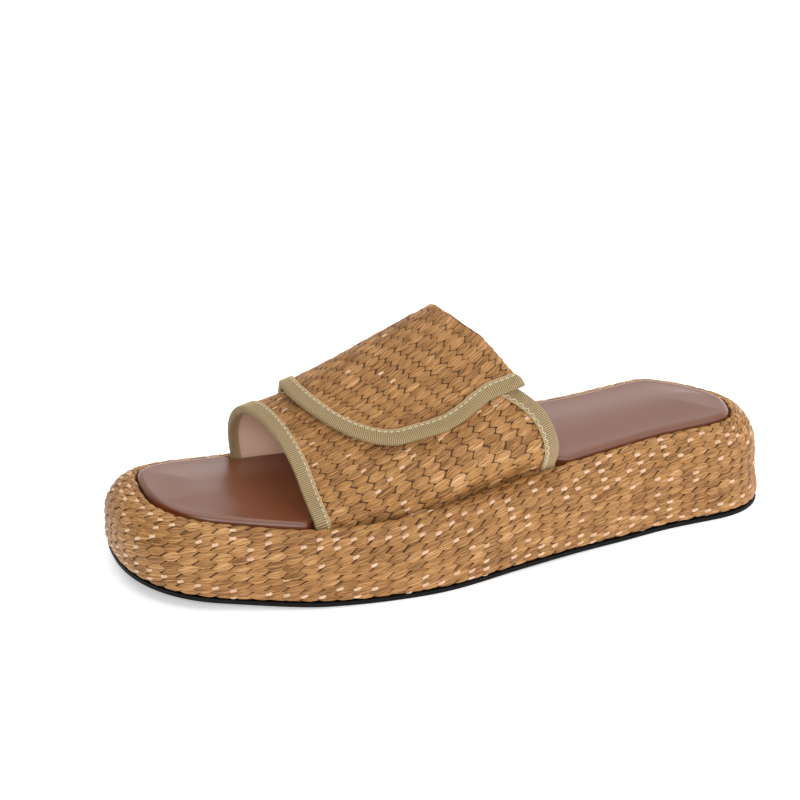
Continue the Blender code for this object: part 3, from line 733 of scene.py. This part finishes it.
# Flat lengths on the cloth: along the shoe, and round it, where the rows lie closer over the instep
cut_line = np.linspace(0, STRAP_END, CUT_SAMPLES)
cloth_x = passed_at(form)
middle_cut = np.full(TURN_SAMPLES, 0.5)
turn_line = np.linspace(0, 1, TURN_SAMPLES)
middle_line = on_form(middle_cut, turn_line, 0)
middle_row = middle_cut / STRAP_END * (CUT_SAMPLES - 1)
cloth_x += middle_line[:, 0] - read_grid(cloth_x, middle_row, np.arange(TURN_SAMPLES))
girth = np.linalg.norm(np.diff(middle_line[:, 1:], axis=0), axis=1)
cloth_y = np.concatenate([[0], np.cumsum(girth / np.interp(turn_line[1:], *np.array(ROWS_CLOSE).T))])
X_STEP, X_REACH = 0.0005, 0.12
x_reach = np.arange(-X_REACH, X_REACH, X_STEP)
cut_table = np.array([np.interp(x_reach, cloth_x[:, k], cut_line) for k in range(TURN_SAMPLES)])


def cloth_place(x, y):
    """Cut and share across at flat lengths on the cloth."""
    j = np.interp(y, cloth_y, np.arange(TURN_SAMPLES))
    cut = read_grid(cut_table, j, (x - x_reach[0]) / X_STEP)
    return cut, j / (TURN_SAMPLES - 1)


def cloth_length(cut, turn):
    """Flat length along the cloth at a cut and a share across."""
    return read_grid(cloth_x, cut / STRAP_END * (CUT_SAMPLES - 1), turn * (TURN_SAMPLES - 1))


SITE_COLUMNS, SITE_ROWS, SITE_PAST = (-40, 41), (-60, 140), 0.001


def cloth_sites(run, rise):
    """Middles of strands over the whole cloth, each column half a row off the last."""
    run, rise = np.array(run), np.array(rise)
    c, k = np.meshgrid(np.arange(*SITE_COLUMNS), np.arange(*SITE_ROWS), indexing="ij")
    k = k - 0.5 * c
    sites = c[..., None] * run + k[..., None] * rise
    sites = sites.reshape(-1, 2)
    return sites[(sites[:, 1] > -SITE_PAST) & (sites[:, 1] < cloth_y[-1] + SITE_PAST)]


def slab(name, cut, turn, low, high, material):
    """A closed thin sheet over a grid of cuts and shares across, between two lifts."""
    rows, columns = cut.shape
    verts = np.concatenate([on_form(cut, turn, lift).reshape(-1, 3) for lift in (high, low)])
    top = grid_faces(rows, columns)
    faces = [top, top[:, ::-1] + rows * columns]
    at = np.arange(rows * columns).reshape(rows, columns)
    for rim in (at[0], at[-1], at[:, 0], at[:, -1]):
        faces.append(np.stack([rim[:-1], rim[1:], rim[1:] + rows * columns, rim[:-1] + rows * columns], 1))
    return piece(name, verts, np.concatenate(faces), material)


def band_hold(x, y):
    """Places on the cloth kept between the band's front and back edges."""
    cut, turn = cloth_place(x, y)
    return np.clip(cut, CUT_HOLD, 1 - CUT_HOLD), turn


def band_place(x, y, lift):
    """Takes a flat place on the cloth to the band."""
    return on_form(*band_hold(x, y), BACKING_TOP + lift)


def under_ribbon(from_edge):
    """1 in the open cloth, falling to a thin flat weave under the ribbon."""
    return CALM_LEAST + (1 - CALM_LEAST) * ease((from_edge - RIBBON_OUTER + CALM_BEFORE) / CALM_SOFT)


def band_calm(x, y):
    """How raised the band's weave is, which is less under the ribbon at both edges."""
    cut, turn = band_hold(x, y)
    front = cloth_length(cut, turn) - cloth_length(0 * cut, turn)
    back = cloth_length(0 * cut + 1, turn) - cloth_length(cut, turn)
    return under_ribbon(np.minimum(front, back))


def weave(name, sites, run, rise, place, calm, dash_share, pale, node):
    """The raised strands of a cloth, a share of them pale, and the peach ends that show between."""
    count = len(sites)
    run, rise = np.tile(run, (count, 1)), np.tile(rise, (count, 1))
    paler = PALE_TONE * (chance.random(count) < pale)
    middle = place(sites[:, 0], sites[:, 1], np.zeros(count))
    outward = place(sites[:, 0], sites[:, 1], np.full(count, 0.001)) - middle

    def laid(kind, kept, material, made_of):
        verts, faces, layers = made_of
        out_from = np.repeat(outward[kept], len(faces) // kept.sum(), 0)
        return woven(name + kind, verts, faces, layers, out_from, material)

    made = laid("_strands", np.full(count, True), raffia,
                strands(sites, run, rise, place, BAND_CROWN, CLOTH_SINK, calm, paler))
    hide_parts(node)
    dash = chance.random(count) < dash_share
    along, over = dash_steps(run[dash], rise[dash])
    laid("_dashes", dash, pale_raffia, strands(sites[dash] + DASH_AHEAD * run[dash], along, over, place,
                                               BAND_DASH_CROWN, DASH_SINK, calm, **DASH_FORM))


lining = grained("pinkish lining leather", 0.62, 1500, 1.3, LINING_TONES, 0.00004, Specular_IOR_Level=0.35)

cut, turn = np.meshgrid(np.linspace(0, 1, 49), np.linspace(0, 1, 121), indexing="ij")
slab("strap_lining", cut, turn, 0.0, LINING_THICK, lining)
slab("strap_backing", cut, turn, LINING_THICK, BACKING_TOP, backing)
sites = cloth_sites(CLOTH_RUN, CLOTH_RISE)
cut, turn = cloth_place(sites[:, 0], sites[:, 1])
kept = (cut > 0.0) & (cut < 1.0)
pale = PALE_SHARE * ease((cut[kept] - 0.35) / 0.3) * ease((0.45 - turn[kept]) / 0.2)
weave("strap", sites[kept], CLOTH_RUN, CLOTH_RISE, band_place, band_calm, BAND_DASH_SHARE, pale, "upper")

# Ribbon
# Ribbed grosgrain tape folded over each raw edge of the cloth and stitched down with cream thread
# near its inner border.
RIB_PITCH = 0.00075
RIB_STEPS = 4
RIB_HEIGHT = 0.00011
THREAD = 0.00021
STITCH_LENGTH = 0.0019
STITCH_PITCH = 0.0024
STITCH_IN = 0.0039
INSIDE_ROW = RIBBON_INNER + 0.0011
ZIGZAG, ZIGZAG_PITCH = 0.0013, 0.62
THREAD_SIDES, THREAD_STEPS = 6, 6
RIBBON_EDGE, FOLD_ROUND = 0.0003, 0.0006
END_SQUASH, END_NARROW = 0.97, 0.62
TAPE_TONES = ((0.500, 0.350, 0.163), (0.660, 0.480, 0.250))
# The trough colour below is painted shade: the tape is darkened in the troughs between its ribs.
TROUGH_PAINTED_SHADE = (0.115, 0.080, 0.030)
THREAD_TONES = ((0.62, 0.55, 0.38), (0.86, 0.80, 0.62))


def even_path(cut, turn, lift, pitch):
    """Places along an edge, evenly spaced by length."""
    length = passed_at(on_form(cut, turn, lift))
    at = np.linspace(0, length[-1], max(2, round(length[-1] / pitch)))
    return np.interp(at, length, cut), np.interp(at, length, turn)


def edge_frame(cut, turn, lift):
    """Points of an edge with its normals, inward directions and the step of a metre inward."""
    edge, flat = on_form(cut, turn, lift), on_form(cut, turn, 0)
    small = 0.004
    by_cut = (on_form(cut + small, turn, 0) - flat) / small
    by_turn = (on_form(cut, turn + small, 0) - flat) / small
    normal = on_form(cut, turn, 1) - flat
    inward = unit(np.cross(normal, np.gradient(edge, axis=0)))
    aa, ab, bb = (by_cut * by_cut).sum(1), (by_cut * by_turn).sum(1), (by_turn * by_turn).sum(1)
    ad, bd = (by_cut * inward).sum(1), (by_turn * inward).sum(1)
    det = aa * bb - ab ** 2
    return edge, normal, inward, (ad * bb - bd * ab) / det, (bd * aa - ad * ab) / det


def ribbon_point(cut, turn, frame_at, reach, lift):
    """Points a length inward of the edge on the form, or straight out past the edge."""
    edge, normal, inward, step_cut, step_turn, base = frame_at
    if np.max(reach) > 0:
        over = np.clip(turn + step_turn * reach, turn.min(), turn.max())
        return on_form(cut + step_cut * reach, over, lift)
    return edge + inward * reach + normal * np.asarray(lift - base)[..., None]


def ribbon(name, cut, turn, lift, node, round_end=0.0):
    """Folded ribbed tape: a long leg outside, a short one inside, and its last end rounded if asked."""
    cut, turn = even_path(cut, turn, lift, RIB_PITCH / RIB_STEPS)
    parts = edge_frame(cut, turn, lift) + (lift,)
    top, under = EDGE_WALL + RIBBON_ROOM, -RIBBON_ROOM
    outside, below = top + RIBBON_THICK, under - RIBBON_THICK
    beyond = -FOLD_GAP - RIBBON_THICK
    wave = np.cos(2 * np.pi * np.arange(len(cut)) / RIB_STEPS)
    rib = RIB_HEIGHT * wave
    length = passed_at(parts[0])
    closing = np.clip((length - length[-1] + round_end) / round_end, 0, 1) if round_end else 0 * length
    squash = np.sqrt(1 - END_SQUASH * closing ** 2)
    narrow = 1 - END_NARROW * closing ** 2
    turning = -FOLD_GAP - RIBBON_EDGE
    profile = [(RIBBON_OUTER, outside - 0.0002, 0), (RIBBON_OUTER - RIBBON_EDGE, outside, 0.5)]
    profile += [(reach, outside, 1) for reach in (0.0040, 0.0028, 0.0014, 0.0)]
    profile += [(turning, outside - 0.00015, 1), (beyond, outside - FOLD_ROUND, 1),
                (beyond, below + FOLD_ROUND, 1), (turning, below + 0.00015, 1), (0.0, below, 1),
                (RIBBON_INNER - RIBBON_EDGE, below, 0.5), (RIBBON_INNER, below + 0.0002, 0)]
    profile += [(reach, under, 0) for reach in (RIBBON_INNER, 0.0, -FOLD_GAP)]
    profile += [(reach, top, 0) for reach in (-FOLD_GAP, 0.0, 0.0028, RIBBON_OUTER)]
    rings = []
    for reach, rise_by, ribbed in profile:
        sign = 1 if rise_by > 0.5 * EDGE_WALL else -1
        swell = rib * ribbed
        from_middle = rise_by - EDGE_WALL / 2 + (reach > beyond) * sign * swell
        level_at = lift + EDGE_WALL / 2 + from_middle * squash
        point = ribbon_point(cut, turn, parts, reach * narrow if reach > 0 else reach, level_at)
        rings.append(point - parts[2] * (swell * (reach <= beyond))[:, None])
    verts = np.stack(rings, 1)
    count, sides = verts.shape[:2]
    faces = [grid_faces(count, sides, wrap=True)]
    n = np.arange(sides // 2 - 1)
    end = np.stack([n, n + 1, sides - 2 - n, sides - 1 - n], 1)
    faces += [end, end + (count - 1) * sides]
    # A mask that falls to 0 in the troughs of the ribbed parts, where the tape is darkened as painted shade.
    ribbed = np.array(profile)[:, 2]
    crest = {"crest": (1 - ribbed[None] * (1 - wave[:, None]) / 2).reshape(-1)}
    made = piece(name, verts.reshape(-1, 3), np.concatenate(faces), tape, sharp=60, layers=crest)
    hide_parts(node)
    return parts, cut, turn


def stitch_row(name, parts, cut, turn, reach, lift, zigzag=0.0, face=1):
    """A row of thread stitches on the outer face, 1, or the inner, -1, straight or leaning to and fro."""
    sides, along = THREAD_SIDES, THREAD_STEPS
    line = ribbon_point(cut, turn, parts, reach, lift)
    length = passed_at(line)
    pitch = STITCH_PITCH * (ZIGZAG_PITCH if zigzag else 1)
    starts = np.arange(0.001, length[-1] - STITCH_LENGTH, pitch)
    verts, faces = [], []
    for n, start in enumerate(starts):
        share = np.linspace(0, 1, along)
        at = start + share * STITCH_LENGTH
        lean = zigzag * (share - 0.5) * (1 if n % 2 else -1)
        middle, normal, inward = (np.stack([np.interp(at, length, way[:, k]) for k in range(3)], 1)
                                  for way in (line, parts[1], parts[2]))
        arch = np.sin(np.pi * share)
        middle = middle + inward * lean[:, None] + normal * (face * (arch - 0.6) * THREAD)[:, None]
        size = THREAD * (0.35 + 0.65 * arch ** 0.5)
        for angle in np.linspace(0, 2 * np.pi, sides, endpoint=False):
            verts.append(middle + (inward * np.cos(angle) + normal * np.sin(angle)) * size[:, None])
        base = n * sides * along
        for side in range(sides):
            for k in range(along - 1):
                a, b = base + side * along + k, base + (side + 1) % sides * along + k
                faces.append((a, b, b + 1, a + 1))
    return piece(name, np.concatenate(verts), np.array(faces), cream, sharp=0)


tape, tree, surface = shader("olive grosgrain", 0.62, Sheen_Weight=0.10)
threads = grain(tree, place_of(tree), 3200, contrast=1.6)
crest = tree.nodes.new("ShaderNodeAttribute")
crest.attribute_name = "crest"
# The tape is painted darker in the troughs between its ribs, as painted shade.
paint(tree, surface, crest.outputs["Fac"], TROUGH_PAINTED_SHADE, blend_colour(tree, threads, *TAPE_TONES))
bump(tree, surface, threads, 0.00006)
cream = grained("cream thread", 0.55, 2600, 1.5, THREAD_TONES, 0.00006)

share = np.linspace(0, 1, 200)
ON_TAPE = EDGE_WALL + RIBBON_ROOM + RIBBON_THICK
parts, cut, turn = ribbon("ribbon_front", 0 * share, share[::-1], 0.0, "binding_front")
stitch_row("stitches_front", parts, cut, turn, STITCH_IN, ON_TAPE)
stitch_row("stitches_inside", parts, cut, turn, INSIDE_ROW, 0.0, face=-1)
parts, cut, turn = ribbon("ribbon_back", 0 * share + 1, share, 0.0, "binding_back")
stitch_row("stitches_back", parts, cut, turn, STITCH_IN, ON_TAPE, zigzag=ZIGZAG)

# Flap
# A second woven layer sewn down on the inner side, which folds back over the strap and lies open
# towards the outer side. Its back edge is turned under, and ribbon covers the other two.
FLAP_RUN = (0.0058, 0.0018)
FLAP_RISE = (-0.0016, 0.0027)
FLAP_FRONT = 0.238
FLAP_CORNER_CUT = 0.17
FLAP_CORNER_TURN = 0.14
FLAP_BACK_LOW, FLAP_BACK_HIGH = 1.045, 1.195
FLAP_BACK_RISE = (0.30, 0.46)
FLAP_BACK_EASED = 0.028
FLAP_LOW_FRONT, FLAP_LOW_BACK = 0.256, 0.309
FLAP_LOW_RISE = (0.37, 0.84)
FLAP_SEAT = 0.0006
FLAP_DASH_SHARE = 0.02
FOLD_EDGE = 0.00085
FLAP_RIBBON_ROUND = 0.0032
FLAP_RIBBON_PAST = 1.004
FLAP_LENGTH = 0.095
FLAP_CORNER_LENGTH = 0.0145
FLAP_FOLD_LENGTH = 0.0030
BACK_EASED_RUN = 0.14
CORNER_REACH = FLAP_CORNER_CUT / (FLAP_BACK_LOW - FLAP_FRONT)


def seat_turns():
    """Shares across at which the flap's outer face would meet the rim, for each cut of the form."""
    turn = np.linspace(1, 0.8, 60)
    turns = []
    for cut in cut_line:
        face = on_form(cut, turn, FLAP_LIFT + WALL)
        turns.append(np.interp(FLAP_SEAT, face[:, 2] - top_height(face[:, 0]), turn))
    return np.array(turns)


SEAT_TURNS = seat_turns()


def flap_back(turn):
    """Cut of the flap's back edge at a share across."""
    low, high = FLAP_BACK_RISE
    back = FLAP_BACK_LOW + (FLAP_BACK_HIGH - FLAP_BACK_LOW) * ease((turn - low) / (high - low))
    return back - FLAP_BACK_EASED * ease((turn - high) / BACK_EASED_RUN)


def flap_ends(u):
    """Shares across at the flap's seat and at its open end, for a share from front to back."""
    seat = np.interp(FLAP_FRONT + (FLAP_BACK_HIGH - FLAP_FRONT) * u, cut_line, SEAT_TURNS)
    low, high = FLAP_LOW_RISE
    return seat, FLAP_LOW_FRONT + (FLAP_LOW_BACK - FLAP_LOW_FRONT) * ease((u - low) / (high - low))


def flap_place(u, v):
    """The flap's own grid: u from front to back, v from its seat over the inner foot to its end."""
    seat, near = flap_ends(u)
    reach = FLAP_CORNER_TURN / (seat - near)
    a = np.clip(1 - u / CORNER_REACH, 0, 1)
    b = np.clip(1 - (1 - v) / reach, 0, 1)
    u = np.where(a > 0, CORNER_REACH * (1 - a * np.sqrt(1 - b ** 2 / 2)), u)
    v = np.where(b > 0, 1 - reach * (1 - b * np.sqrt(1 - a ** 2 / 2)), v)
    turn = seat + (near - seat) * v
    return FLAP_FRONT + (flap_back(turn) - FLAP_FRONT) * u, turn


def flap_shares(cut, turn):
    """Shares of the flap's grid at a place, and how far out it lies: over 1 is outside its edges."""
    u = (cut - FLAP_FRONT) / (flap_back(turn) - FLAP_FRONT)
    seat, near = flap_ends(np.clip(u, 0, 1))
    v = (seat - turn) / (seat - near)
    reach = FLAP_CORNER_TURN / (seat - near)
    a, b = np.clip(1 - u / CORNER_REACH, 0, None), np.clip(1 - (1 - v) / reach, 0, None)
    return u, v, reach, np.where((a > 0) & (b > 0), np.hypot(a, b), np.maximum(a, b)), a, b


def flap_hold(x, y):
    """Places on the cloth kept inside the flap's front, open end and seat."""
    cut, turn = cloth_place(x, y)
    u, v, reach, out, a, b = flap_shares(cut, turn)
    over = np.maximum(out, 1)
    u = np.where(a > 0, CORNER_REACH * (1 - a / over), u)
    v = np.where(b > 0, 1 - reach * (1 - b / over), v)
    v = np.clip(v, 0, 1)
    seat, near = flap_ends(np.clip(u, 0, 1))
    turn = seat + (near - seat) * v
    return FLAP_FRONT + (flap_back(turn) - FLAP_FRONT) * u, turn


def flap_lifted(x, y, lift):
    """Takes a flat place on the cloth to the flap, round the fold at its back edge."""
    cut, turn = flap_hold(x, y)
    back = flap_back(turn)
    past = np.maximum(cloth_length(cut, turn) - cloth_length(back, turn), 0)
    held = np.minimum(cut, back)
    middle = FLAP_LIFT + BACKING_TOP - FOLD_EDGE
    radius = FOLD_EDGE + lift
    angle = np.minimum(past / FOLD_EDGE, np.pi)
    spine = on_form(held, turn, middle)
    normal = on_form(held, turn, middle + 1) - spine
    ahead = unit(spine - on_form(held - 0.01, turn, middle))
    return spine + normal * (radius * np.cos(angle))[..., None] + ahead * (radius * np.sin(angle))[..., None]


def flap_calm(x, y):
    """How raised the flap's weave is, which is less under the ribbon."""
    cut, turn = flap_hold(x, y)
    front = cloth_length(cut, turn) - cloth_length(0 * cut + FLAP_FRONT, turn)
    _, v, _, out, a, b = flap_shares(cut, turn)
    below = np.abs(1 - v) * FLAP_LENGTH
    corner = np.where((a > 0) & (b > 0), (1 - out) * FLAP_CORNER_LENGTH, 1.0)
    return under_ribbon(np.minimum(np.minimum(front, below), corner))


u, v = np.meshgrid(np.linspace(0, 1, 57), np.linspace(0, 1, 97), indexing="ij")
cut, turn = flap_place(u, v)
slab("flap_lining", cut, turn, FLAP_LIFT, FLAP_LIFT + LINING_THICK, lining)
slab("flap_backing", cut, turn, FLAP_LIFT + LINING_THICK, FLAP_LIFT + BACKING_TOP, backing)
sites = cloth_sites(FLAP_RUN, FLAP_RISE)
cut, turn = cloth_place(sites[:, 0], sites[:, 1])
u, v, _, out, *_ = flap_shares(cut, turn)
past = cloth_length(cut, turn) - cloth_length(flap_back(turn), turn)
kept = (out < 1.0) & (past < FLAP_FOLD_LENGTH) & (v > 0.0) & (v < 1.0) & (u > 0)
weave("flap", sites[kept], FLAP_RUN, FLAP_RISE, flap_lifted, flap_calm, FLAP_DASH_SHARE, 0, "flap")

share = np.linspace(0, 1, 200)
down, along = flap_place(0 * share, share), flap_place(share[1:] * FLAP_RIBBON_PAST, 0 * share[1:] + 1)
cut, turn = np.concatenate([down, along], 1)
parts, cut, turn = ribbon("ribbon_flap", cut, turn, FLAP_LIFT, "binding_flap", round_end=FLAP_RIBBON_ROUND)
stitch_row("stitches_flap", parts, cut, turn, STITCH_IN, FLAP_LIFT + ON_TAPE)

# Studio
# A pale floor, soft lights from above and in front, walls that are brighter behind the heel and at
# the back, and the camera at the photograph's angle.
AZIMUTH, ELEVATION, ROLL = np.radians(-19.5104), np.radians(28.7568), np.radians(0.4119)
DISTANCE = 1.3040
AIM_HEIGHT = 0.030
FOCAL_PIXELS = 3306.94
AIM_PIXEL = (440.912, 459.766)
FRAME_PIXELS = 800
SENSOR = 36.0
FLOOR_HALF = 6.0
FLOOR_GLOW = 0.42
WALLS = 0.56
WALLS_BRIGHTER = (0.74, 0.42, 0.0)


def looking(back, upright=(0, 0, 1)):
    """Right, up and back directions of something that looks away from back."""
    back = unit(back)
    right = unit(np.cross(upright, back))
    return right, np.cross(back, right), back


def placed(name, data, right, up, back, at=(0, 0, 0)):
    """Puts a light, the camera or the floor in the scene, turned and placed."""
    turned = np.eye(4)
    turned[:3] = np.column_stack([right, up, back, at])
    made = bpy.data.objects.new(name, data)
    made.matrix_world = Matrix(turned.tolist())
    scene.collection.objects.link(made)
    return made


def soft_light(name, toward, strength, spread):
    """A wide soft light from a direction, the same over the whole floor."""
    light = bpy.data.lights.new(name, "SUN")
    light.energy = strength
    light.angle = np.radians(spread)
    placed(name, light, *looking(toward))


floor_mesh = bpy.data.meshes.new("floor")
corners = [(x * FLOOR_HALF, y * FLOOR_HALF, 0) for x, y in ((-1, -1), (1, -1), (1, 1), (-1, 1))]
floor_mesh.from_pydata(corners, [], [(0, 1, 2, 3)])
floor_white = shader("pale floor", 0.9, Base_Color=(0.97, 0.97, 0.97, 1), Emission_Color=(1, 1, 1, 1),
                     Emission_Strength=FLOOR_GLOW)[0]
floor_mesh.materials.append(floor_white)
studio_floor = placed("floor", floor_mesh, *np.eye(3))

world = bpy.data.worlds.new("studio")
world.use_nodes = True
tree = world.node_tree
walls = tree.nodes["Background"]
walls.inputs["Color"].default_value = (1, 1, 1, 1)
toward = tree.nodes.new("ShaderNodeTexCoord").outputs["Generated"]
slope = math_node(tree, "VectorMath", "DOT_PRODUCT", toward, WALLS_BRIGHTER)
tree.links.new(math_node(tree, "Math", "ADD", slope, WALLS), walls.inputs["Strength"])
scene.world = world
soft_light("key", (0.35, -0.85, 0.70), 0.50, 40)
soft_light("front", (-0.34, -0.80, 0.62), 0.95, 25)
soft_light("top", (-0.10, 0.10, 1.00), 1.00, 60)

level_back = np.array([np.sin(AZIMUTH), -np.cos(AZIMUTH)]) * np.cos(ELEVATION)
right, up, back = looking([*level_back, np.sin(ELEVATION)])
eye = back * DISTANCE + (0, SIDE_SHIFT, AIM_HEIGHT)
# The camera turns a little, so that the shoe stands off the picture's middle
off_right, off_down = (np.array(AIM_PIXEL) - FRAME_PIXELS / 2) / FOCAL_PIXELS
right, up, back = looking(back + right * off_right - up * off_down, up)
lens = bpy.data.cameras.new("camera")
lens.sensor_width = SENSOR
lens.lens = FOCAL_PIXELS / FRAME_PIXELS * SENSOR
scene.camera = placed("camera", lens, right * np.cos(ROLL) + up * np.sin(ROLL),
                                  up * np.cos(ROLL) - right * np.sin(ROLL), back, eye)
